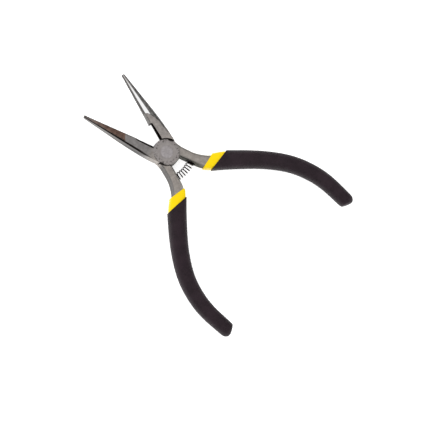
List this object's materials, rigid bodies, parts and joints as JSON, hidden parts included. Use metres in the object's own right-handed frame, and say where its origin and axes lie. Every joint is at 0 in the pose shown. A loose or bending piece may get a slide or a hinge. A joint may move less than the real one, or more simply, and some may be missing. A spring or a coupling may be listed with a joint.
{
  "type": "needle nose pliers",
  "caption": "Small spring-opening needle nose pliers with serrated jaws, side cutters, a riveted lap joint and curved double-dipped grips, shown open.",
  "frame": {"origin": "the middle of the rivet's flat back end, on the pivot's axis", "axes": "+Z along the pivot, out of the front face; +Y along the tool's centre line towards the nose; +X towards the front half's handle"},
  "size_m": [0.0902, 0.1172, 0.0091],
  "materials": {
    "forged_steel": "satin forged steel with ground nose flats",
    "rivet_steel": "ground flush",
    "spring_steel": "dark oiled music wire",
    "yellow_dip": "smooth dipped vinyl",
    "black_dip": "matte, finely pebbled dipped vinyl"
  },
  "bodies": {
    "back_half": {"back_half_forging": "forged_steel", "pivot_rivet": "rivet_steel", "back_grip_base": "yellow_dip", "back_grip_cover": "black_dip", "return_spring": "spring_steel"},
    "front_half": {"front_half_forging": "forged_steel", "front_grip_base": "yellow_dip", "front_grip_cover": "black_dip"}
  },
  "joints": [
    {"name": "pivot", "type": "hinge", "parent": "back_half", "child": "front_half", "pos_m": [0, 0, 0], "axis": [0, 0, 1], "range_deg": [-36.2, 8], "stiffness_Nm_per_rad": 0.05, "deforming": ["return_spring"]}
  ]
}
